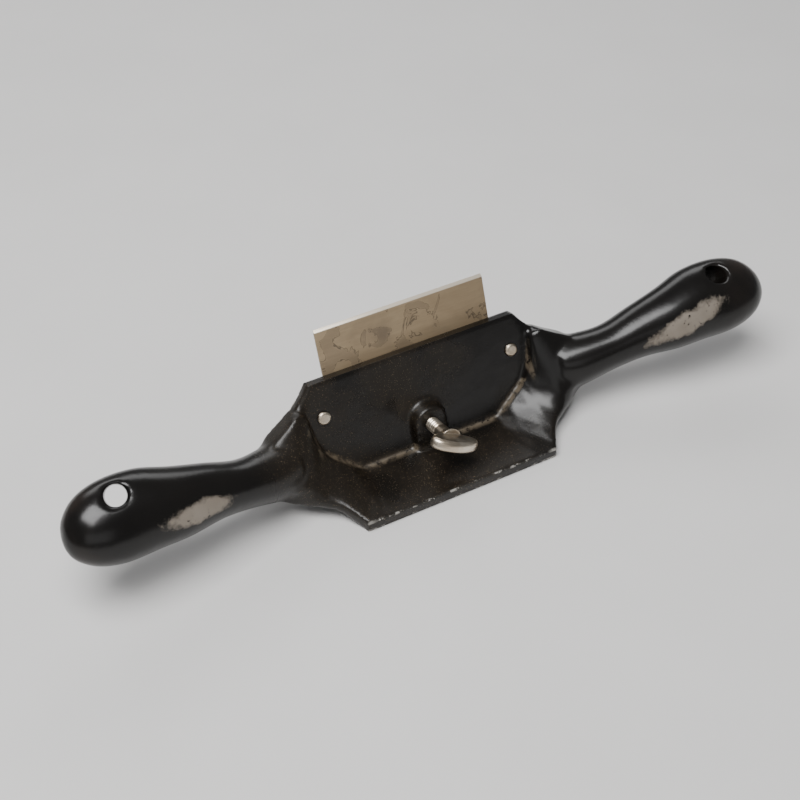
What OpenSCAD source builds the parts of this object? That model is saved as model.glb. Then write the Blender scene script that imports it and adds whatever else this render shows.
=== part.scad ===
// Cabinet scraper: a cast body with two raised handles, a thin steel blade that leans
// forward in it, a clamp bar with two thumbscrews in front and a bowing thumbscrew behind.
// The origin lies on the sole, midway across and just behind the mouth.
// +X runs along the handles, +Y is the way the tool is pushed and +Z is up.

/* [Blade] */
// Width of the blade across the tool
blade_w = 70; // [60:1:76]
// Height of the blade from its cutting edge to its top edge
blade_h = 58; // [50:1:66]
// Thickness of the blade
blade_t = 1; // [0.8:0.1:1.6]

/* [Bed] */
// Angle between the sole behind the mouth and the bed plate
bed_angle = 69; // [66:1:75]
// Thickness of the bed plate
bed_t = 5; // [4:0.5:7]
// Height of the bed plate, measured up its slope from the sole
bed_h = 41; // [38:1:46]
// Width of metal left beside each clamp screw's hole in the bed plate
screw_margin = 3.6; // [3:0.2:6]

/* [Sole] */
// Length of the sole behind the mouth
heel_len = 30; // [26:1:36]
// Length of the sole in front of the blade
toe_len = 27; // [22:1:34]
// Thickness of the sole
sole_t = 4.2; // [3.4:0.2:6]
// Width of the strip of sole beside each end of the blade
side_strip = 5; // [4:0.5:8]
// Opening of the mouth in front of the blade
mouth_gap = 2.6; // [1.5:0.1:4]
// Gap between the blade's end and the side of the mouth
side_gap = 0.5; // [0.3:0.1:1]

/* [Handles] */
// Overall length across the two handles
overall_len = 287; // [260:1:320]
// Height of the handle's middle line above the sole, near its end
handle_rise = 33; // [28:1:40]
// Half of the handle's greatest width
grip_a = 14.8; // [12:0.2:17]
// Half of the handle's greatest thickness
grip_b = 11.4; // [9:0.2:13]
// Distance of each hanging hole from the handle's end
hole_inset = 22; // [18:0.5:28]
// Radius of the hanging holes
hole_r = 4; // [3:0.25:5]

/* [Clamp] */
// Height of the clamp screws up the bed's slope
clamp_at = 27; // [24:0.5:30]
// Radius of the clamp screws
clamp_screw_r = 2.6; // [2.2:0.1:3.2]
// Gap between the blade's end and each clamp screw
screw_clear = 2.2; // [1.5:0.1:4]
// Height of the clamp bar up the slope
bar_h = 15; // [12:0.5:18]
// Thickness of the clamp bar
bar_t = 5; // [4:0.5:7]
// How far the clamp screws' ends stand out of the bed plate
tip_out = 1.2; // [0.6:0.2:2]

/* [Bowing screw] */
// Height of the bowing screw up the bed's slope
bow_at = 13; // [11:0.5:16]
// Radius of the bowing screw
bow_screw_r = 2.8; // [2.4:0.1:3.2]
// Radius of the round top of the boss
boss_r = 7; // [6:0.5:9]
// How far the boss stands out of the bed plate
boss_t = 4.5; // [3:0.5:7]
// Bare length of the bowing screw between the boss and its head
bow_neck = 10; // [6:0.5:14]
// Angle by which the bowing screw leans down from square to the bed
bow_tilt = 8; // [0:1:12]

/* [Thumb heads] */
// Width of a thumbscrew's flat head
head_w = 20; // [16:0.5:22]
// Length of a thumbscrew's flat head along the screw
head_l = 10; // [8:0.5:14]
// Thickness of the head at its middle
head_t = 4.5; // [3:0.5:6]

/* [Hidden] */
$fn = 64;

// Radial running clearance of each screw in its hole
run_gap = 0.06;
// Gap between flat faces that touch
face_gap = 0.03;
// How far a cut runs past the metal that it goes through
past = 20;

// How far the heads are turned about their screws
clamp_turn = 52;
bow_turn = -25;
// Where the bed plate's front face meets the sole
mouth_y = 5;
heel_y = mouth_y - heel_len;
toe_y = mouth_y + toe_len + mouth_gap;
mouth_half = blade_w / 2 + side_gap;
sole_half = mouth_half + side_strip;
screw_x = blade_w / 2 + screw_clear + clamp_screw_r;
bed_half = screw_x + screw_margin;
bar_half = screw_x + clamp_screw_r + 3;
bar_front = blade_t + bar_t;

// How far the shoulders stand out of the bed plate
shoulder_t = 3;
// Depth of the shoulders' front faces behind the bed plate's front face
shoulder_in = 0.4;

// Handles: stations along half of the length, as shares of the way from neck to end,
// each with its setback, its share of the rise and its share of the grip's half sizes
neck_x = bed_half + 11.6;
// Where the middle of the casting ends and the handles begin
split_x = neck_x + 15;
end_x = overall_len / 2;
handle_roll = 40;
stations = [
    [0.00, 4, 0.50, 0.60, 0.92],
    [0.08, 2.8, 0.51, 0.72, 1.05],
    [0.24, -1, 0.64, 0.62, 0.92],
    [0.38, -3, 0.78, 0.70, 0.88],
    [0.53, -5, 0.88, 0.86, 0.95],
    [0.66, -5, 0.95, 0.98, 1.00],
    [0.80, -6, 0.98, 1.00, 1.00],
    [0.91, -7, 1.00, 0.82, 0.82],
    [0.98, -7.5, 0.99, 0.46, 0.46],
    [1.00, -8, 0.98, 0.10, 0.10]
];
rings = 27;
ring_sides = 28;
// The hanging hole's line, through a point just above the handle's middle line
hole_tilt = 42;
hole_splay = 12;
hole_x = end_x - hole_inset;
hole_y = 0.6;
hole_z = handle_rise + 3.4;

// Puts children on the bed: local Y runs up the slope, local Z points back to the user
module on_bed() {
    translate([0, mouth_y, 0])
        rotate([bed_angle, 0, 0])
            children();
}

// Draws children on the right and mirrors them to the left
module both_sides() {
    children();
    mirror([1, 0, 0])
        children();
}

// Smooth curve through four evenly numbered values
function blend(a, b, c, d, t) =
    b + t * (c - a) / 2
    + t * t * (a - 2.5 * b + 2 * c - d / 2)
    + t * t * t * (1.5 * (b - c) + (d - a) / 2);

// Station values at a place u, counted in stations
function at_station(u) =
    let (last = len(stations) - 1, i = min(floor(u), last - 1), t = u - i)
    blend(
        stations[max(i - 1, 0)], stations[i],
        stations[i + 1], stations[min(i + 2, last)], t
    );

// One ring of the handle: an ellipse across X, turned by the handle's roll
function handle_ring(s) = [
    for (k = [0:ring_sides - 1])
        let (
            turn = 360 * k / ring_sides,
            a = grip_a * s[3] * cos(turn),
            b = grip_b * s[4] * sin(turn)
        ) [
            neck_x + (end_x - neck_x) * s[0],
            s[1] + a * cos(handle_roll) - b * sin(handle_roll),
            handle_rise * s[2] + a * sin(handle_roll) + b * cos(handle_roll)
        ]
];

// Solid drawn through rings with the same number of points, each in a plane across X
module drawn_through(rows) {
    count = len(rows[0]);
    last = len(rows) - 1;
    sides = [
        for (r = [0:last - 1], k = [0:count - 1])
            let (n = (k + 1) % count, base = r * count, next = base + count)
            each [
                [base + k, next + n, base + n],
                [base + k, next + k, next + n]
            ]
    ];
    near_end = [for (k = [0:count - 1]) k];
    far_end = [for (k = [count - 1:-1:0]) last * count + k];
    polyhedron([for (row = rows) each row], concat([near_end], sides, [far_end]), convexity = 4);
}

module handle() {
    drawn_through([for (r = [0:rings]) handle_ring(at_station(r * (len(stations) - 1) / rings))]);
}

// The length of the handle between two places along X
module handle_between(near, far) {
    intersection() {
        handle();
        translate([near, -2 * past, -past])
            cube([far - near, 4 * past, 6 * past]);
    }
}

// A point of the bed's section: w up the slope and n out of its front face
function bed_point(w, n) = [
    mouth_y + w * cos(bed_angle) - n * sin(bed_angle),
    w * sin(bed_angle) + n * cos(bed_angle)
];

// A section through the shoulder: two points up its front, the rim at height w up the bed,
// from n_front to n_back, two points down its back, then the rear edge and its foot
function shoulder_ring(x, foot_z, edge, mid, knee, w, n_back, n_front, foot_w) = [
    for (p = [
        bed_point(foot_w, shoulder_in),
        bed_point((w + foot_w) / 2, min(n_front, shoulder_in)),
        bed_point(w, n_front), bed_point(w, n_back),
        knee, mid, edge, [edge[0], foot_z]
    ]) [x, p[0], p[1]]
];

// The shoulder spreads from the heel's side and the bed plate's side out to the neck
module shoulder() {
    proud = bed_t + shoulder_t;
    in = shoulder_in;
    y = mouth_y;
    drawn_through([
        shoulder_ring(
            sole_half - 12.5, in, [heel_y + in, sole_t - in],
            [y - 19, sole_t - in], [y - 9, sole_t - in], 1.5, bed_t, in, 0.8
        ),
        shoulder_ring(
            sole_half - 6.5, in, [heel_y + in, sole_t + 0.3],
            [y - 19, sole_t + 1.2], [y - 10, sole_t + 2.8], 6.3, proud - 0.8, in, 0.8
        ),
        shoulder_ring(
            sole_half - 0.4, in, [heel_y + in, sole_t + 0.8],
            [y - 19, sole_t + 3.2], [y - 10, sole_t + 5.6], 11.4, proud - 0.4, in, 0.8
        ),
        shoulder_ring(
            bed_half - 0.4, 1, [heel_y + 5.2, 6.4],
            [y - 17, 8.8], [y - 9, 11.6], 14.8, proud - 0.2, in, 1.5
        ),
        shoulder_ring(
            bed_half + 2, 3, [heel_y + 8.7, 7.8],
            [y - 15, 9.8], [y - 8, 13.4], 20, proud, in, 3
        ),
        shoulder_ring(
            bed_half + 4, 4, [heel_y + 10.8, 8.5],
            [y - 14, 11], [y - 7, 16], bed_h - 9, proud, in, 5
        ),
        shoulder_ring(
            bed_half + 8, 5, [heel_y + 13, 9.4],
            [y - 14, 13], [y - 8, 20], bed_h - 8, proud + 1, 0.6, 6
        ),
        shoulder_ring(
            bed_half + 13, 5.4, [heel_y + 16, 9.8],
            [y - 13.6, 14], [y - 9.5, 21], bed_h - 11, proud + 2.5, 1, 7
        ),
        shoulder_ring(
            bed_half + 19, 6.4, [heel_y + 20, 10],
            [y - 12.6, 15], [y - 10, 21], 27, proud + 3.5, 2, 8
        ),
        shoulder_ring(
            bed_half + 25, 10, [heel_y + 23, 13],
            [y - 8, 16], [y - 7, 20], 22, proud + 1, 4, 11
        )
    ]);
}

module bed_plate() {
    // half of the outline beyond the mouth: its sides run into the shoulders
    half = [
        [sole_half, -4], [bed_half + 5, 15], [bed_half + 9, 22], [bed_half + 10, 30],
        [bed_half + 6.5, bed_h - 7.5], [bed_half + 3, bed_h - 4], [bed_half, bed_h]
    ];
    last = len(half) - 1;
    on_bed()
        linear_extrude(bed_t)
            polygon(concat(half, [for (k = [last:-1:0]) [-half[k][0], half[k][1]]]));
}

module sole() {
    translate([-sole_half, heel_y, 0])
        cube([2 * sole_half, toe_y - heel_y, sole_t]);
}

// Low ribs that tie the toe to the bed plate beside the mouth
module rib() {
    rib_t = side_strip - 1;
    translate([mouth_half + 0.5, 0, 0])
        rotate([90, 0, 90])
            linear_extrude(rib_t)
                polygon([
                    [mouth_y, sole_t - 1], [toe_y - 5, sole_t - 1],
                    [toe_y - 9, sole_t + 1.5], [mouth_y + 7, 11]
                ]);
}

// Upturned lip across the front of the toe
module toe_lip() {
    lip_t = 3;
    translate([-sole_half, toe_y - lip_t, 0])
        cube([2 * sole_half, lip_t, sole_t + 2]);
}

// Puts children on the bowing screw's line: local Z points back along the screw
module on_bow_line() {
    on_bed()
        translate([0, bow_at, 0])
            rotate([bow_tilt, 0, 0])
                children();
}

module boss() {
    root = bed_t / 2;
    on_bow_line() {
        translate([0, 0, root])
            cylinder(r = boss_r, h = bed_t + boss_t - root);
        translate([-boss_r, -bow_at, root])
            cube([2 * boss_r, bow_at, bed_t + boss_t - root]);
    }
}

module mouth() {
    on_bed()
        translate([-mouth_half, -past, -blade_t - mouth_gap])
            cube([2 * mouth_half, 2 * past, blade_t + mouth_gap]);
}

// A hole along local Z that runs from in front of the bed plate to behind the boss
module screw_hole(r) {
    translate([0, 0, -bar_front])
        cylinder(r = r + run_gap, h = bar_front + past);
}

module hang_hole() {
    translate([hole_x, hole_y, hole_z])
        rotate([hole_tilt, hole_splay, 0])
            cylinder(r = hole_r, h = 4 * past, center = true);
}

module body_casting() {
    color([0.06, 0.055, 0.05])
        difference() {
            union() {
                sole();
                bed_plate();
                boss();
                toe_lip();
                both_sides() {
                    handle_between(0, split_x);
                    shoulder();
                    rib();
                }
            }
            mouth();
            on_bow_line()
                screw_hole(bow_screw_r);
            both_sides()
                on_bed()
                    translate([screw_x, clamp_at, 0])
                        screw_hole(clamp_screw_r);
            translate([-end_x, -2 * past, -past])
                cube([2 * end_x, 4 * past, past]);
        }
}

module handle_right() {
    color([0.06, 0.055, 0.05])
        difference() {
            handle_between(split_x + face_gap, 2 * end_x);
            hang_hole();
        }
}

module handle_left() {
    mirror([1, 0, 0])
        handle_right();
}

// A blade with a 45 degree bevel on both long edges, facing the user
module scraper_blade() {
    // lifts the cutting edge just clear of the surface under the sole
    edge_w = (blade_t + face_gap) * cos(bed_angle) / sin(bed_angle) + face_gap;
    color([0.62, 0.58, 0.52])
        on_bed()
            translate([-blade_w / 2, 0, 0])
                rotate([90, 0, 90])
                    linear_extrude(blade_w)
                        polygon([
                            [edge_w, -face_gap - blade_t],
                            [edge_w + blade_h, -face_gap - blade_t],
                            [edge_w + blade_h - blade_t, -face_gap],
                            [edge_w + blade_t, -face_gap]
                        ]);
}

module clamp_bar() {
    end_r = bar_h / 2;
    color([0.07, 0.065, 0.06])
        on_bed()
            translate([0, clamp_at, -bar_front - 2 * face_gap])
                difference() {
                    union() {
                        translate([end_r - bar_half, -bar_h / 2, 0])
                            cube([2 * (bar_half - end_r), bar_h, bar_t]);
                        both_sides()
                            translate([bar_half - end_r, 0, 0])
                                cylinder(r = end_r, h = bar_t);
                    }
                    both_sides()
                        translate([screw_x, 0, -past])
                            cylinder(r = clamp_screw_r + run_gap, h = 2 * past);
                }
}

// Oval thumb piece of half size a by b, with chamfered rims
module paddle(a, b) {
    rim = 1;
    waist = head_t - 2 * rim;
    for (side = [0, 1])
        mirror([0, 0, side])
            translate([0, 0, waist / 2])
                linear_extrude(rim, scale = 1 - rim / b)
                    scale([a / b, 1])
                        circle(r = b, $fn = 48);
    linear_extrude(waist, center = true)
        scale([a / b, 1])
            circle(r = b, $fn = 48);
}

// A thumbscrew with its tip at z = 0 and its head below, turned about the screw
module thumbscrew(r, shank, head_turn) {
    tip = 0.6;
    flare = 3;
    translate([0, 0, -shank])
        cylinder(r = r, h = shank - tip);
    translate([0, 0, -tip])
        cylinder(r1 = r, r2 = r - tip, h = tip);
    translate([0, 0, -shank - flare])
        cylinder(r1 = r + 1.6, r2 = r, h = flare);
    translate([0, 0, -shank - flare - head_l / 2 + 1.5])
        rotate([90, 0, head_turn])
            paddle(head_w / 2, head_l / 2);
}

module clamp_screw(side) {
    color([0.72, 0.68, 0.6])
        on_bed()
            translate([side * screw_x, clamp_at, bed_t + tip_out])
                thumbscrew(
                    clamp_screw_r,
                    bed_t + tip_out + bar_front + 3 * face_gap,
                    90 + side * clamp_turn
                );
}

module clamp_screw_left() {
    clamp_screw(-1);
}

module clamp_screw_right() {
    clamp_screw(1);
}

module bowing_screw() {
    // holds the tilted tip's lower edge just off the blade
    tip_back = bow_screw_r * sin(bow_tilt) + face_gap;
    color([0.72, 0.68, 0.6])
        on_bow_line()
            translate([0, 0, tip_back])
                mirror([0, 0, 1])
                    thumbscrew(bow_screw_r, bed_t + boss_t + bow_neck, bow_turn);
}

body_casting();
handle_left();
handle_right();
scraper_blade();
clamp_bar();
clamp_screw_left();
clamp_screw_right();
bowing_screw();
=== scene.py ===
import math

import bmesh
import bpy
from mathutils import Matrix, Vector


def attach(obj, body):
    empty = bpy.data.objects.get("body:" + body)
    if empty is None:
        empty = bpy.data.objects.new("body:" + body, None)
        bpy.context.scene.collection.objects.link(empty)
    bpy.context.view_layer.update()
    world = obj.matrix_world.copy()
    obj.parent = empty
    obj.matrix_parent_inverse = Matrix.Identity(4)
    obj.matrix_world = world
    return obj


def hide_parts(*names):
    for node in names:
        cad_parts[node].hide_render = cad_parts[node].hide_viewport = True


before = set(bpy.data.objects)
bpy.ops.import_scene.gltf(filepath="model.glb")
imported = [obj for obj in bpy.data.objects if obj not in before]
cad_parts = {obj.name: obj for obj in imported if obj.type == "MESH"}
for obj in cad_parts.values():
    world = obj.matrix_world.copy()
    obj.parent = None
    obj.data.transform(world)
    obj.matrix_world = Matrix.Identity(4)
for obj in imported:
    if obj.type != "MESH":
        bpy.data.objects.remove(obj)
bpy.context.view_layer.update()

# Sizes in millimetres, as on the drawing of the tool. The origin is on the sole, midway
# across; X runs along the handles, Y the way the tool is pushed, and Z up.
MM = 0.001
TINY = 1e-5
BLADE_W, BLADE_H, BLADE_T = 70, 58, 1
BED_ANGLE, BED_T, BED_H, BED_HALF = 69, 5, 41, 43.4
MOUTH_Y, MOUTH_GAP, MOUTH_HALF = 5, 2.6, 35.5
HEEL_Y, TOE_Y, SOLE_T, SOLE_HALF = -25, 34.6, 4.2, 40.5
SCREW_X, CLAMP_AT, CLAMP_R, BAR_H, BAR_T, BAR_HALF = 39.8, 27, 2.6, 15, 5, 45.4
BOW_AT, BOW_R, BOW_TILT, BOSS_T, BOW_NECK = 13, 2.8, 8, 4.5, 10
HEAD_W, HEAD_L, HEAD_T = 20, 10, 4.5
GAP, RUN_GAP = 0.03, 0.06
END_X, RISE, GRIP_A, GRIP_B, HANDLE_ROLL = 143.5, 33, 14.8, 11.4, 40
NECK_X = 55
HOLE_INSET, HOLE_R, HOLE_Y, HOLE_OVER, HOLE_TILT, HOLE_SPLAY = 22, 4, 0.6, 3.4, 42, 12
BOSS_ROOT_R, BOSS_TOP_R = 7.9, 6.4
LIP_T, RIB_TOP, RIB_LOW = 3, 11, 1.5
PITCH, THREAD_DEPTH = 1.27, 0.55
CLAMP_TIP, CLAMP_TURN, BOW_TURN = 1.2, 52, 25


# ---------------------------------------------------------------- hand tools

def deselect():
    bpy.ops.object.select_all(action="DESELECT")


def pick(*things):
    """Selects these objects alone, the first of them active."""
    deselect()
    for thing in things:
        thing.select_set(True)
    bpy.context.view_layer.objects.active = things[0]
    return things[0]


def started(name):
    """The primitive just added, named, with nothing else selected."""
    thing = bpy.context.object
    thing.name = name
    thing.data.name = name
    return pick(thing)


def block(name, low, high):
    """A block between two corners given in millimetres."""
    deselect()
    middle = [(a + b) / 2 * MM for a, b in zip(low, high)]
    bpy.ops.mesh.primitive_cube_add(size=1, location=middle)
    thing = started(name)
    thing.scale = [(b - a) * MM for a, b in zip(low, high)]
    bpy.ops.object.transform_apply(location=True, rotation=True, scale=True)
    return thing


def rod(name, radius, low, high, end_radius=None, sides=48):
    """A round bar or cone along Z from low to high."""
    deselect()
    end = radius if end_radius is None else end_radius
    bpy.ops.mesh.primitive_cone_add(
        vertices=sides, radius1=radius * MM, radius2=end * MM,
        depth=(high - low) * MM, location=(0, 0, (low + high) / 2 * MM))
    thing = started(name)
    bpy.ops.object.transform_apply(location=True, rotation=True, scale=True)
    return thing


def put(thing, place):
    """Moves a piece by a matrix and bakes the place into its mesh."""
    pick(thing)
    thing.matrix_world = place @ thing.matrix_world
    bpy.ops.object.transform_apply(location=True, rotation=True, scale=True)
    return thing


def shift(x, y, z):
    return Matrix.Translation((x * MM, y * MM, z * MM))


def turn(degrees, axis):
    return Matrix.Rotation(math.radians(degrees), 4, axis)


def finish_with(thing, kind, **settings):
    """Adds a modifier and applies it."""
    pick(thing)
    tool = thing.modifiers.new(kind.title(), kind)
    for key, value in settings.items():
        setattr(tool, key, value)
    bpy.ops.object.modifier_apply(modifier=tool.name)
    return thing


def cut(thing, cutter):
    """Cuts one piece out of another and throws the cutter away."""
    finish_with(thing, "BOOLEAN", operation="DIFFERENCE", object=cutter, solver="EXACT")
    bpy.data.objects.remove(cutter)
    return thing


def weld(name, *things):
    """Joins pieces into one object."""
    pick(*things)
    bpy.ops.object.join()
    return started(name)


def other_side(thing, name):
    """A copy mirrored to the left, with its faces turned outwards again."""
    pick(thing)
    bpy.ops.object.duplicate()
    twin = started(name)
    bpy.ops.object.mode_set(mode="EDIT")
    bpy.ops.mesh.select_all(action="SELECT")
    bpy.ops.transform.mirror(constraint_axis=(True, False, False), center_override=(0, 0, 0))
    bpy.ops.mesh.normals_make_consistent(inside=False)
    bpy.ops.object.mode_set(mode="OBJECT")
    return twin


def edit_selecting(thing, wanted, mode="EDGE"):
    """Enters edit mode with the edges, faces or vertices that a test wants selected."""
    pick(thing)
    bpy.ops.object.mode_set(mode="EDIT")
    bpy.ops.mesh.select_mode(type=mode)
    bpy.ops.mesh.select_all(action="DESELECT")
    net = bmesh.from_edit_mesh(thing.data)
    for part in {"EDGE": net.edges, "FACE": net.faces, "VERT": net.verts}[mode]:
        if wanted(part):
            part.select_set(True)
    net.select_flush_mode()
    bmesh.update_edit_mesh(thing.data)


def drag(thing, wanted, step):
    """Moves the vertices that a test wants by a step in millimetres."""
    edit_selecting(thing, wanted, "VERT")
    bpy.ops.transform.translate(value=[part * MM for part in step])
    bpy.ops.object.mode_set(mode="OBJECT")


def resize(thing, wanted, factors, height=0.0):
    """Scales the vertices that a test wants about a point on the Z axis."""
    edit_selecting(thing, wanted, "VERT")
    bpy.ops.transform.resize(value=factors, center_override=(0, 0, height * MM))
    bpy.ops.object.mode_set(mode="OBJECT")


def shade(thing, angle):
    """Shades smoothly across edges that turn by less than this angle."""
    pick(thing)
    bpy.ops.object.shade_smooth_by_angle(angle=math.radians(angle))
    return thing


def cast(thing, voxel, passes):
    """Makes one skin of overlapping parts and softens it."""
    finish_with(thing, "REMESH", mode="VOXEL", voxel_size=voxel * MM, use_smooth_shade=True)
    finish_with(thing, "SMOOTH", factor=0.5, iterations=passes)


def drag_ring(thing, ring, places):
    """Drags the vertices of a ring, one by one, to their places in millimetres."""
    net = bmesh.from_edit_mesh(thing.data)
    for index, place in zip(ring, places):
        for corner in net.verts:
            if corner.select:
                corner.select_set(False)
        net.verts.ensure_lookup_table()
        corner = net.verts[index]
        corner.select_set(True)
        net.select_flush(True)
        step = Vector(place) * MM - corner.co
        bpy.ops.transform.translate(value=step)
        net = bmesh.from_edit_mesh(thing.data)


def drawn_out(name, rings):
    """A bar drawn from ring to ring by extruding its end face and dragging its corners."""
    count = len(rings[0])
    deselect()
    bpy.ops.mesh.primitive_circle_add(vertices=count, radius=5 * MM, fill_type="NGON")
    thing = started(name)
    bpy.ops.object.mode_set(mode="EDIT")
    bpy.ops.mesh.select_mode(type="VERT")
    ring = list(range(count))
    drag_ring(thing, ring, rings[0])
    for places in rings[1:]:
        net = bmesh.from_edit_mesh(thing.data)
        net.verts.ensure_lookup_table()
        for index in ring:
            net.verts[index].select_set(True)
        net.select_flush(True)
        before = [net.verts[index].co.copy() for index in ring]
        bpy.ops.mesh.extrude_region_move(TRANSFORM_OT_translate={"value": (0.0, 0.0, 0.0)})
        net = bmesh.from_edit_mesh(thing.data)
        fresh = [corner for corner in net.verts if corner.select]
        ring = [min(fresh, key=lambda c: (c.co - old).length).index for old in before]
        drag_ring(thing, ring, places)
    bpy.ops.mesh.select_all(action="SELECT")
    bpy.ops.mesh.normals_make_consistent(inside=False)
    bpy.ops.object.mode_set(mode="OBJECT")
    return thing


BED_COS, BED_SIN = math.cos(math.radians(BED_ANGLE)), math.sin(math.radians(BED_ANGLE))
BED = shift(0, MOUTH_Y, 0) @ turn(BED_ANGLE, "X")
BOW = BED @ shift(0, BOW_AT, 0) @ turn(BOW_TILT, "X")


# ---------------------------------------------------------------- the casting

STATIONS = [
    (0.00, 4, 0.50, 0.60, 0.92), (0.08, 2.8, 0.51, 0.72, 1.05), (0.24, -1, 0.64, 0.62, 0.92),
    (0.38, -3, 0.78, 0.70, 0.88), (0.53, -5, 0.88, 0.86, 0.95), (0.66, -5, 0.95, 0.98, 1.00),
    (0.80, -6, 0.98, 1.00, 1.00), (0.91, -7, 1.00, 0.82, 0.82), (0.98, -7.5, 0.99, 0.46, 0.46),
    (1.00, -8, 0.98, 0.10, 0.10),
]


def between(a, b, c, d, t):
    """Smooth curve from b to c."""
    return (b + t * (c - a) / 2 + t * t * (a - 2.5 * b + 2 * c - d / 2)
            + t ** 3 * (1.5 * (b - c) + (d - a) / 2))


def handle_ring(u):
    last = len(STATIONS) - 1
    i = min(int(u), last - 1)
    near = [STATIONS[max(0, min(last, i + k))] for k in (-1, 0, 1, 2)]
    share, back, rise, a, b = [between(*column, u - i) for column in zip(*near)]
    roll = math.radians(HANDLE_ROLL)
    ring = []
    for k in range(28):
        corner = math.tau * k / 28
        wide, thick = GRIP_A * a * math.cos(corner), GRIP_B * b * math.sin(corner)
        ring.append((
            NECK_X + (END_X - NECK_X) * share,
            back + wide * math.cos(roll) - thick * math.sin(roll),
            RISE * rise + wide * math.sin(roll) + thick * math.cos(roll)))
    return ring


def on_slope(w, n):
    """A point of the bed's section: w up the slope and n out of its front face."""
    return (MOUTH_Y + w * BED_COS - n * BED_SIN, w * BED_SIN + n * BED_COS)


# Sections across X through the shoulder, which spreads from the heel's side and the bed's
# side out to the neck: place, foot height, rear edge, two points of the back, then the rim's
# height up the bed with its two depths, and the height of the foot's front
SHOULDER = [
    (28, 0.2, (-24.6, 3.9), (-14, 3.9), (-4, 3.9), 1.5, 5, 0.4, 0.8),
    (34, 0.2, (-24.6, 4.5), (-14, 5.4), (-5, 7), 6.3, 7.4, 0.4, 0.8),
    (40.1, 0.2, (-24.6, 5), (-14, 7.4), (-5, 9.8), 11.4, 7.8, 0.4, 0.8),
    (43, 1, (-19.8, 6.4), (-12, 8.8), (-4, 11.6), 14.8, 8, 0.4, 1.5),
    (45.4, 3, (-16.3, 7.8), (-10, 9.8), (-3, 13.4), 20, 8.2, 0.4, 3),
    (47.4, 4, (-14.2, 8.5), (-9, 11), (-2, 16), 32, 8, 0.4, 5),
    (51.4, 5, (-12, 9.4), (-9, 13), (-3, 20), 33, 9, 0.6, 6),
    (56.4, 5.4, (-9, 9.8), (-8.6, 14), (-4.5, 21), 30, 10.5, 1, 7),
    (62.4, 6.4, (-5, 10), (-7.6, 15), (-5, 21), 27, 11.5, 2, 8),
    (68.4, 10, (-2, 13), (-3, 16), (-2, 20), 22, 9, 4, 11),
]


def shoulder_ring(x, foot_z, edge, mid, knee, w, n_back, n_front, foot_w):
    points = [on_slope(foot_w, 0.4), on_slope((w + foot_w) / 2, min(n_front, 0.4)),
              on_slope(w, n_front), on_slope(w, n_back), knee, mid, edge, (edge[0], foot_z)]
    return [(x, y, z) for y, z in points]


def make_handle():
    rings = [handle_ring(r * (len(STATIONS) - 1) / 30) for r in range(31)]
    handle = drawn_out("handle", rings)
    place = shift(END_X - HOLE_INSET, HOLE_Y, RISE + HOLE_OVER)
    peg = rod("peg", HOLE_R, -60, 60)
    return cut(handle, put(peg, place @ turn(HOLE_SPLAY, "Y") @ turn(HOLE_TILT, "X")))


def make_shoulder():
    return drawn_out("shoulder", [shoulder_ring(*row) for row in SHOULDER])


def make_bed():
    """The bed plate, drawn on its slope, narrow at the top."""
    bed = block("bed", (-BED_HALF, -4, 0), (BED_HALF, BED_H, BED_T))
    resize(bed, lambda v: v.co.y < 0, (SOLE_HALF / BED_HALF, 1, 1))
    # beside it the plate runs out into the shoulder and comes back in towards its top
    side = block("side", (BED_HALF - 8, 12, 0), (BED_HALF + 9.5, 30, BED_T))
    drag(side, lambda v: v.co.y < 13 * MM and v.co.x > BED_HALF * MM, (-6, 0, 0))
    for rise, inward in ((3.5, 3.2), (3.5, 3.4), (4, 2.9)):
        top = max(v.co.y for v in side.data.vertices)
        edit_selecting(side, lambda face: face.calc_center_median().y > top - TINY, "FACE")
        bpy.ops.mesh.extrude_region_move(TRANSFORM_OT_translate={"value": (0, rise * MM, 0)})
        bpy.ops.object.mode_set(mode="OBJECT")
        drag(side, lambda v: v.co.y > top + TINY and v.co.x > (BED_HALF - 5) * MM, (-inward, 0, 0))
    twin = other_side(side, "side_left")
    return [put(part, BED) for part in (bed, side, twin)]


def make_boss():
    """The boss for the bowing screw: a round top on a foot that widens into the sole."""
    root = BED_T / 2
    top = rod("boss", BOSS_ROOT_R, root, BED_T + BOSS_T, end_radius=BOSS_TOP_R)
    foot = block("boss_foot", (-BOSS_TOP_R, -BOW_AT, root), (BOSS_TOP_R, 0, BED_T + BOSS_T))
    resize(foot, lambda v: v.co.z < (root + 1) * MM, (BOSS_ROOT_R / BOSS_TOP_R, 1, 1), root)
    return [put(top, BOW), put(foot, BOW)]


def make_front():
    """The toe: its upturned lip and the low ribs beside the mouth."""
    lip = block("toe_lip", (-SOLE_HALF, TOE_Y - LIP_T, 0), (SOLE_HALF, TOE_Y, SOLE_T + 2))
    rib = block("rib", (MOUTH_HALF + 0.5, MOUTH_Y, SOLE_T - 1),
                (SOLE_HALF - 0.5, TOE_Y - 5, RIB_TOP))
    fall = SOLE_T + RIB_LOW - RIB_TOP
    drag(rib, lambda v: v.co.y > 20 * MM and v.co.z > 8 * MM, (0, -4, fall))
    drag(rib, lambda v: v.co.y < 10 * MM and v.co.z > 8 * MM, (0, 7, 0))
    return [lip, rib, other_side(rib, "rib_left")]


def ease_shoulders(casting):
    """Rubs down the facets where the shoulders run into the necks and the sole's corners."""
    group = casting.vertex_groups.new(name="shoulders")
    for vertex in casting.data.vertices:
        x, y, z = vertex.co / MM
        outside = (abs(x) - 42) / 3
        behind = (MOUTH_Y + z * BED_COS - y - 1.5) / 3
        share = min(1, max(0, outside)) * min(1, max(0, behind))
        if share > 0:
            group.add([vertex.index], share, "REPLACE")
    finish_with(casting, "SMOOTH", factor=0.5, iterations=22, vertex_group="shoulders")


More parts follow.
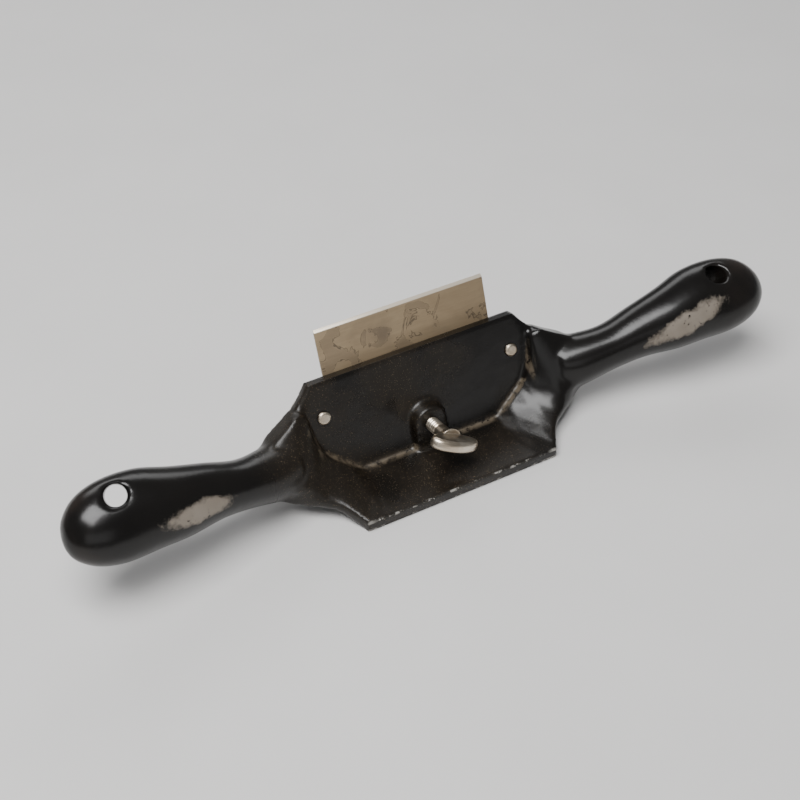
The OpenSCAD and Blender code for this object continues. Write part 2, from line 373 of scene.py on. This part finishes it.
def make_casting():
    """One skin over all the casting's parts, then its mouth, flat faces and screw holes."""
    handle = make_handle()
    shoulder = make_shoulder()
    sole = block("sole", (-SOLE_HALF, HEEL_Y, -1), (SOLE_HALF, TOE_Y, SOLE_T))
    parts = [sole, handle, other_side(handle, "handle_left"),
             shoulder, other_side(shoulder, "shoulder_left")]
    parts += make_bed() + make_boss() + make_front()
    casting = weld("casting", *parts)
    cast(casting, 0.8, 4)
    ease_shoulders(casting)
    cut(casting, block("floor_cut", (-200, -100, -30), (200, 100, 0)))
    mouth = block("mouth", (-MOUTH_HALF, -20, -BLADE_T - MOUTH_GAP), (MOUTH_HALF, 20, 0))
    cut(casting, put(mouth, BED))
    face_half = MOUTH_HALF + 18
    cut(casting, put(block("bed_face", (-face_half, 13, -1), (face_half, 60, 0)), BED))
    for side in (-1, 1):
        hole = rod("screw_hole", CLAMP_R + RUN_GAP, -10, 20)
        cut(casting, put(hole, BED @ shift(side * SCREW_X, CLAMP_AT, 0)))
    cut(casting, put(rod("bow_hole", BOW_R + RUN_GAP, -6, 30), BOW))
    return shade(casting, 38)


# ---------------------------------------------------------------- blade, bar and screws

def make_blade():
    """A plate on the bed with both long edges bevelled towards the user."""
    foot = (BLADE_T + GAP) * BED_COS / BED_SIN + GAP
    blade = block("blade", (-BLADE_W / 2, foot, -BLADE_T - GAP),
                  (BLADE_W / 2, foot + BLADE_H, -GAP))
    for end, step in ((foot, BLADE_T), (foot + BLADE_H, -BLADE_T)):
        drag(blade, lambda v: abs(v.co.y - end * MM) < TINY and v.co.z > -0.5 * MM, (0, step, 0))
    finish_with(blade, "BEVEL", width=0.07 * MM, segments=2, limit_method="ANGLE")
    return put(shade(blade, 30), BED)


def make_bar():
    """A flat bar with round ends, soft edges and two screw holes."""
    near, far = -BLADE_T - BAR_T - 2 * GAP, -BLADE_T - 2 * GAP
    reach = BAR_HALF - BAR_H / 2
    parts = [block("bar", (-reach, -BAR_H / 2, near), (reach, BAR_H / 2, far))]
    for side in (-1, 1):
        parts.append(put(rod("bar_end", BAR_H / 2, near, far), shift(side * reach, 0, 0)))
    bar = weld("bar", *parts)
    cast(bar, 0.4, 3)
    for side in (-1, 1):
        hole = rod("bar_hole", CLAMP_R + RUN_GAP, near - 5, far + 5)
        cut(bar, put(hole, shift(side * SCREW_X, 0, 0)))
    return put(shade(bar, 38), BED @ shift(0, CLAMP_AT, 0))


def make_thumbscrew(name, radius, shank, head_turn):
    """A thumbscrew with its tip at the origin and its head below: threads, flare and paddle."""
    tip, bare, flare_l, sunk = 0.5, 4, 3.6, 1.5
    screw = rod(name, radius, -shank, 0)
    turns = int((shank - bare) / PITCH)
    heights = [-tip - k * PITCH / 2 for k in range(2 * turns + 1)]
    pick(screw)
    bpy.ops.object.mode_set(mode="EDIT")
    for height in heights:
        bpy.ops.mesh.select_all(action="SELECT")
        bpy.ops.mesh.bisect(plane_co=(0, 0, height * MM), plane_no=(0, 0, 1))
    bpy.ops.object.mode_set(mode="OBJECT")
    slim = 1 - THREAD_DEPTH / radius
    for height in heights[1::2]:
        resize(screw, lambda v: abs(v.co.z - height * MM) < TINY, (slim, slim, 1), height)
    resize(screw, lambda v: v.co.z > -0.1 * MM, (0.72, 0.72, 1))
    flare = rod("flare", radius + 1.7, -shank - flare_l, -shank, end_radius=radius)
    paddle = rod("paddle", HEAD_L / 2, -HEAD_T / 2, HEAD_T / 2, sides=64)
    paddle.scale = (HEAD_W / HEAD_L, 1, 1)
    pick(paddle)
    bpy.ops.object.transform_apply(location=True, rotation=True, scale=True)
    finish_with(paddle, "BEVEL", width=1.7 * MM, segments=5, limit_method="ANGLE",
                angle_limit=math.radians(50))
    head = shift(0, 0, -shank - sunk - HEAD_L / 2)
    put(paddle, head @ turn(head_turn, "Z") @ turn(90, "X"))
    screw = weld(name, screw, flare, paddle)
    cast(screw, 0.17, 2)
    pick(screw)
    bpy.ops.object.shade_smooth()
    return screw


# ---------------------------------------------------------------- finishes

class Flow:
    """A number on its way through a finish; sums of flows add Math nodes."""

    def __init__(self, finish, socket):
        self.finish = finish
        self.socket = socket

    def sum(self, operation, *terms):
        made = self.finish.node("Math", {"operation": operation}, dict(enumerate(terms)))
        return Flow(self.finish, made.outputs[0])

    def __add__(self, other):
        return self.sum("ADD", self, other)

    def __radd__(self, other):
        return self.sum("ADD", other, self)

    def __sub__(self, other):
        return self.sum("SUBTRACT", self, other)

    def __rsub__(self, other):
        return self.sum("SUBTRACT", other, self)

    def __mul__(self, other):
        return self.sum("MULTIPLY", self, other)

    def __rmul__(self, other):
        return self.sum("MULTIPLY", other, self)

    def __truediv__(self, other):
        return self.sum("DIVIDE", self, other)

    def __abs__(self):
        return self.sum("ABSOLUTE", self)

    def __pow__(self, other):
        return self.sum("POWER", self, other)


class Finish:
    """A material and its nodes."""

    def __init__(self, name, **fixed):
        self.material = bpy.data.materials.new(name)
        self.material.use_nodes = True
        self.tree = self.material.node_tree
        self.shader = self.tree.nodes["Principled BSDF"]
        for key, value in fixed.items():
            self.shader.inputs[key.replace("_", " ")].default_value = value
        self.place = self.node("TexCoord").outputs["Object"]
        apart = self.node("SeparateXYZ", {}, {0: self.place})
        self.x, self.y, self.z = [Flow(self, apart.outputs[k]) * 1000 for k in range(3)]

    def node(self, kind, settings=None, sockets=None):
        made = self.tree.nodes.new("ShaderNode" + kind)
        for key, value in (settings or {}).items():
            if key == "stops":
                while len(made.color_ramp.elements) < len(value):
                    made.color_ramp.elements.new(0.5)
                for element, (at, colour) in zip(made.color_ramp.elements, value):
                    element.position = at
                    element.color = (*colour, 1)
            else:
                setattr(made, key, value)
        for key, value in (sockets or {}).items():
            self.feed(made.inputs[key], value)
        return made

    def feed(self, socket, value):
        if isinstance(value, Flow):
            self.tree.links.new(value.socket, socket)
        elif isinstance(value, bpy.types.NodeSocket):
            self.tree.links.new(value, socket)
        elif socket.type == "RGBA" and len(value) == 3:
            socket.default_value = (*value, 1)
        else:
            socket.default_value = value

    def noise(self, size, detail=4, rough=0.55, twist=0.0, stretch=(1, 1, 1)):
        """Cloudy noise whose blobs are about size millimetres."""
        mapped = self.node("Mapping", {}, {"Vector": self.place, "Scale": stretch})
        made = self.node("TexNoise", {}, {
            "Vector": mapped.outputs[0], "Scale": 1000 / size,
            "Detail": detail, "Roughness": rough, "Distortion": twist})
        return Flow(self, made.outputs[0])

    def step(self, flow, low, high):
        """0 below low, 1 above high, smooth between."""
        made = self.node("MapRange", {"interpolation_type": "SMOOTHSTEP", "clamp": True}, {
            0: flow, 1: low, 2: high, 3: 0.0, 4: 1.0})
        return Flow(self, made.outputs[0])

    def mix(self, factor, one, two):
        made = self.node("Mix", {"data_type": "RGBA"}, {0: factor, 6: one, 7: two})
        return made.outputs[2]

    def far(self, x, y, z, sx, sy, sz, rise=0.0):
        """Distance from a point, each axis in units of its own reach, climbing along X by rise."""
        a, b = (self.x - x) / sx, (self.y - y) / sy
        c = (self.z - z - (self.x - x) * rise) / sz
        return (a * a + b * b + c * c) ** 0.5

    def bump(self, height, distance, under=None):
        sockets = {"Height": height, "Distance": distance * MM, "Strength": 1.0}
        if under:
            sockets["Normal"] = under
        return self.node("Bump", {}, sockets).outputs[0]

    def use(self, **sockets):
        for key, value in sockets.items():
            self.feed(self.shader.inputs[key.replace("_", " ")], value)


# Worn spots on the handles, and a painted highlight spot by the recess: the middle, the reach
# along each axis, and for a handle the climb along X
LEFT_PATCH = (-97, -15, 30.4, 17, 8, 4.2, -0.17)
RIGHT_PATCH = (104, -15.5, 33.2, 19, 8, 4.6, 0.33)
RIM_GLINT_SPOT = (-47.5, -2.5, 28, 2.6, 9, 3.4)


def japanned_iron():
    """Glossy black paint on the casting and the bar, with dust, rubbed patches, chips and a
    painted highlight along the recess's rim.
    """
    f = Finish("japanned_iron", IOR=1.42)
    cloud = f.noise(38, 3)
    grain = f.noise(1.1, 5, 0.7)
    # fine brown dust lies on the bed and the left shoulder
    middle = 1 - f.step(abs(f.x + 12), 44, 66)
    dusty = middle * f.step(cloud + f.x / -260, 0.34, 0.62)
    specks = f.step(f.noise(0.45, 2, 0.6), 0.62, 0.72) * dusty
    black = f.mix(cloud, (0.002, 0.0018, 0.0017), (0.007, 0.0058, 0.0048))
    brown = f.mix(dusty * 0.55, black, (0.016, 0.0115, 0.007))
    dotted = f.mix(specks, brown, (0.13, 0.095, 0.055))
    ends = f.step(abs(f.x), 118, 142) * f.step(cloud, 0.4, 0.6)
    aged = f.mix(ends * 0.6, dotted, (0.03, 0.021, 0.016))
    # bare patches rubbed by the fingers low on the back of each handle
    ragged = (f.noise(6, 6, 0.72) - 0.5) * 1.25
    left, right = f.far(*LEFT_PATCH) + ragged, f.far(*RIGHT_PATCH) + ragged
    rubbed = 1 - f.step(left.sum("MINIMUM", left, right), 0.6, 1.02)
    pits = f.step(f.noise(2.0, 3, 0.6), 0.29, 0.37)
    worn = rubbed * pits
    metal = f.mix(f.noise(8, 4), (0.2, 0.165, 0.13), (0.34, 0.3, 0.25))
    bare = f.mix(worn * 0.88, aged, metal)
    # painted highlight: a broken light line along the rim round the recess where its edge catches
    # the light, and a painted highlight spot at its upper left
    behind = f.y - MOUTH_Y
    slope = f.z * BED_COS - behind * BED_SIN
    height = f.z * BED_SIN + behind * BED_COS
    across = abs(f.x)
    curve = 3.2 + 10.4 * f.step(across, 26, 45)
    rim = 1 - f.step(abs(slope - 6.6), 0.7, 1.8)
    rim = rim * (1 - f.step(abs(height - curve), 0.7, 1.9))
    # painted highlight too: a light strip up each side of the recess
    upright = f.step(across, 44, 45) * (1 - f.step(across, 45.6, 46.4)) * f.step(height, 13, 18)
    upright = upright * f.step(slope, 5.6, 6.4) * (1 - f.step(height, 30, 33))
    # noise breaks the painted highlight into dashes
    broken = f.step(f.noise(2.4, 5, 0.7), 0.36, 0.56)
    rim_glint = rim.sum("MAXIMUM", rim, upright * 0.8) * broken
    frayed = (f.noise(3, 5, 0.7) - 0.5) * 1.4
    # the painted highlight spot at the recess's upper left
    rim_corner_glint = 1 - f.step(f.far(*RIM_GLINT_SPOT) + frayed, 0.5, 0.95)
    rim_glint = rim_glint.sum("MAXIMUM", rim_glint, rim_corner_glint * 0.9)
    # the painted highlight's light tan goes over the paint and the bare patches, so bare carries
    # it from here on
    bare = f.mix(rim_glint * 0.62, bare, (0.15, 0.118, 0.08))
    # chipped edge along the back of the heel
    chip = f.step(f.noise(3.0, 6, 0.75), 0.5, 0.6)
    from_back = f.y - HEEL_Y
    edge = (1 - f.step(from_back, 0.05, 0.7)) * f.step(f.z, 3.0, 3.7)
    foot = (1 - f.step(from_back, 0.05, 0.6)) * (1 - f.step(f.z, 0.4, 1.0))
    corner = f.step(abs(f.x), 30, 40)
    heel = (edge + foot * 0.7) * f.step(chip * 0.7 + corner * 0.6, 0.35, 0.75)
    final = f.mix(heel * 0.85, bare, (0.5, 0.48, 0.44))
    rough = 0.17 + cloud * 0.12 + dusty * 0.1 + specks * 0.2
    rough = rough + worn * 0.24 + rim_glint * 0.15 + heel * 0.15
    low = f.bump(f.noise(14, 2), 0.2)
    relief = grain * (0.25 + dusty * 0.9) - specks * 0.3 - worn * 0.4 - pits * 0.15
    high = f.bump(relief, 0.08, low)
    f.use(Base_Color=final, Roughness=rough, Metallic=worn * 0.3 + heel * 0.4, Normal=high)
    return f.material


def blade_steel():
    """Tan, stained steel, brushed along its length, with a bright top bevel."""
    f = Finish("blade_steel", Metallic=0.35)
    cloud = f.noise(16, 5, 0.6, 0.6)
    brush = f.noise(2.4, 6, 0.75, 0, (0.12, 1, 1))
    blot = f.noise(13, 4, 0.55, 1.2)
    ring = 1 - f.step(abs(blot - 0.56), 0.0, 0.012)
    stain = f.step(blot, 0.55, 0.6)
    smudge = f.step(f.noise(22, 3, 0.5), 0.5, 0.68)
    tan = f.mix(cloud, (0.25, 0.18, 0.105), (0.37, 0.285, 0.18))
    lined = f.mix(f.step(brush, 0.3, 0.75) * 0.4, tan, (0.19, 0.14, 0.085))
    stained = f.mix(stain * 0.35 + smudge * 0.4, lined, (0.12, 0.09, 0.062))
    ringed = f.mix(ring * 0.75, stained, (0.06, 0.046, 0.034))
    top = f.step(f.z, 53.3, 53.6)
    bright = f.mix(top * 0.9, ringed, (0.62, 0.55, 0.45))
    rough = 0.42 + smudge * 0.12 + brush * 0.12 - top * 0.12
    f.use(Base_Color=bright, Roughness=rough,
          Normal=f.bump(brush + f.noise(0.9, 4) * 0.5, 0.02))
    return f.material


def worn_nickel():
    """Dull, nicked plating."""
    f = Finish("worn_nickel", Metallic=1.0)
    cloud = f.noise(7, 4, 0.6)
    nick = f.step(f.noise(1.3, 5, 0.7), 0.63, 0.7)
    tone = f.mix(f.step(cloud, 0.35, 0.65), (0.56, 0.47, 0.36), (0.72, 0.65, 0.54))
    dull = f.mix(nick * 0.7, tone, (0.3, 0.23, 0.17))
    f.use(Base_Color=dull, Roughness=0.24 + cloud * 0.16 + nick * 0.2,
          Normal=f.bump(f.noise(1.6, 4) - nick * 0.5, 0.04))
    return f.material


def paint(thing, material, body, slot, node, *more):
    """Gives a finished piece its material, the body that it rides on and the nodes it replaces."""
    thing.name = node + "_looks"
    thing.data.materials.clear()
    thing.data.materials.append(material)
    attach(thing, body)
    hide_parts(node, *more)


black = japanned_iron()
nickel = worn_nickel()
paint(make_casting(), black, "casting", "japanned_iron",
      "body_casting", "handle_left", "handle_right")
paint(make_blade(), blade_steel(), "blade", "blade_steel", "scraper_blade")
paint(make_bar(), black, "bar", "bar_iron", "clamp_bar")

CLAMP_SHANK = BED_T + CLAMP_TIP + BLADE_T + BAR_T + 3 * GAP
for side, word in ((-1, "left"), (1, "right")):
    screw = make_thumbscrew("clamp_screw", CLAMP_R, CLAMP_SHANK, 90 + side * CLAMP_TURN)
    put(screw, BED @ shift(side * SCREW_X, CLAMP_AT, BED_T + CLAMP_TIP))
    paint(screw, nickel, word + "_screw", "screw_nickel", "clamp_screw_" + word)

TIP_BACK = BOW_R * math.sin(math.radians(BOW_TILT)) + GAP
screw = make_thumbscrew("bow_screw", BOW_R, BED_T + BOSS_T + BOW_NECK, BOW_TURN)
put(screw, BOW @ shift(0, 0, TIP_BACK) @ turn(180, "X"))
paint(screw, nickel, "bow_screw", "screw_nickel", "bowing_screw")


# ---------------------------------------------------------------- floor, light and camera

deselect()
bpy.ops.mesh.primitive_plane_add(size=6, location=(0, 0, -0.0003))
floor = started("floor")
ground = Finish("pale_floor", Roughness=0.7)
ground.use(Base_Color=ground.mix(ground.noise(60, 4), (0.6, 0.59, 0.58), (0.66, 0.65, 0.64)))
floor.data.materials.append(ground.material)


def lamp(name, place, size, power):
    """A soft box aimed at the tool."""
    deselect()
    bpy.ops.object.light_add(type="AREA", location=place)
    light = bpy.context.object
    light.name = name
    light.data.shape = "RECTANGLE"
    light.data.size, light.data.size_y = size
    light.data.energy = power
    aim = Vector((0, 0, 0.02)) - Vector(place)
    light.rotation_euler = aim.to_track_quat("-Z", "Y").to_euler()


lamp("soft_box_top", (-0.3, -0.15, 1.0), (0.7, 0.6), 17)
lamp("soft_box_back", (0.25, 0.95, 0.75), (1.2, 0.4), 5)
lamp("fill", (-0.5, -1.0, 0.5), (1.0, 0.5), 1.2)

world = bpy.context.scene.world or bpy.data.worlds.new("room")
bpy.context.scene.world = world
world.use_nodes = True
world.node_tree.nodes["Background"].inputs[0].default_value = (0.9, 0.92, 0.95, 1)
world.node_tree.nodes["Background"].inputs[1].default_value = 0.22

YAW, PITCH = 28.5, 43.0
bpy.ops.object.camera_add(
    location=(-0.1908, -0.3259, 0.3785),
    rotation=(math.radians(90 - PITCH), 0, math.radians(-YAW)))
camera = bpy.context.object
camera.data.lens = 63
camera.data.sensor_width = 36
camera.data.clip_start = 0.01
bpy.context.scene.camera = camera
